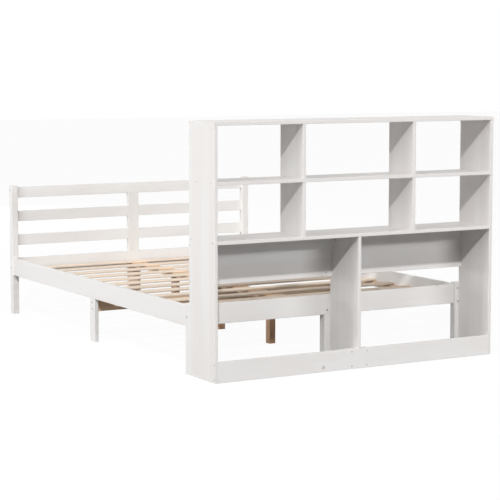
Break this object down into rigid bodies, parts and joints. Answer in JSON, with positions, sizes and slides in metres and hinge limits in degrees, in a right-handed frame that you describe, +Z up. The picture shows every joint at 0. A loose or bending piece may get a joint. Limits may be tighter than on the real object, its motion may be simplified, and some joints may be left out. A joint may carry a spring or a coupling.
{
  "type": "bookcase headboard bed",
  "caption": "White wooden double bed frame with an open bookcase as its headboard, a slatted foot panel, low side rails and bare pine slats.",
  "frame": {"origin": "on the floor, under the middle of the whole bed's box", "axes": "+Y from the bookcase to the foot end, +X to the right seen from the bookcase, +Z up"},
  "size_m": [1.455, 2.3, 1.1],
  "materials": {
    "white_paint": "white paint on pine, satin",
    "slat_pine": "bare planed pine",
    "bare_pine": "bare planed pine, darker",
    "dowel_beech": "bare beech",
    "screw_steel": "zinc plated",
    "bolt_steel": "zinc plated"
  },
  "bodies": {
    "root": {"back_board_joiner": "white_paint", "back_board_left": "white_paint", "back_board_right": "white_paint", "barrel_nuts": "bolt_steel", "bed_screws": "screw_steel", "bolts": "bolt_steel", "bookcase_screws": "screw_steel", "bookcase_side_left": "white_paint", "bookcase_side_right": "white_paint", "bookcase_top": "white_paint", "centre_beam": "bare_pine", "centre_leg_1": "bare_pine", "centre_leg_2": "bare_pine", "centre_leg_3": "bare_pine", "cross_beam": "bare_pine", "dowels": "dowel_beech", "foot_board": "white_paint", "foot_post_left": "white_paint", "foot_post_right": "white_paint", "foot_rail_lower_left": "white_paint", "foot_rail_lower_right": "white_paint", "foot_rail_upper_left": "white_paint", "foot_rail_upper_right": "white_paint", "foot_stile": "white_paint", "foot_support_inner": "bare_pine", "foot_support_outer": "white_paint", "foot_top_rail": "white_paint", "head_board": "white_paint", "head_post_left": "white_paint", "head_post_right": "white_paint", "head_support_inner": "white_paint", "head_support_outer": "white_paint", "lower_divider": "white_paint", "lower_shelf": "white_paint", "mid_leg_left": "white_paint", "mid_leg_right": "white_paint", "middle_shelf": "white_paint", "plinth_cleat_left": "white_paint", "plinth_cleat_right": "white_paint", "plinth_left": "white_paint", "plinth_right": "white_paint", "side_rail_left": "white_paint", "side_rail_right": "white_paint", "slat_01": "slat_pine", "slat_02": "slat_pine", "slat_03": "slat_pine", "slat_04": "slat_pine", "slat_05": "slat_pine", "slat_06": "slat_pine", "slat_07": "slat_pine", "slat_08": "slat_pine", "slat_09": "slat_pine", "slat_10": "slat_pine", "slat_11": "slat_pine", "slat_12": "slat_pine", "slat_13": "slat_pine", "slat_ledge_left": "bare_pine", "slat_ledge_right": "bare_pine", "upper_divider_left": "white_paint", "upper_divider_right": "white_paint"}
  },
  "joints": []
}
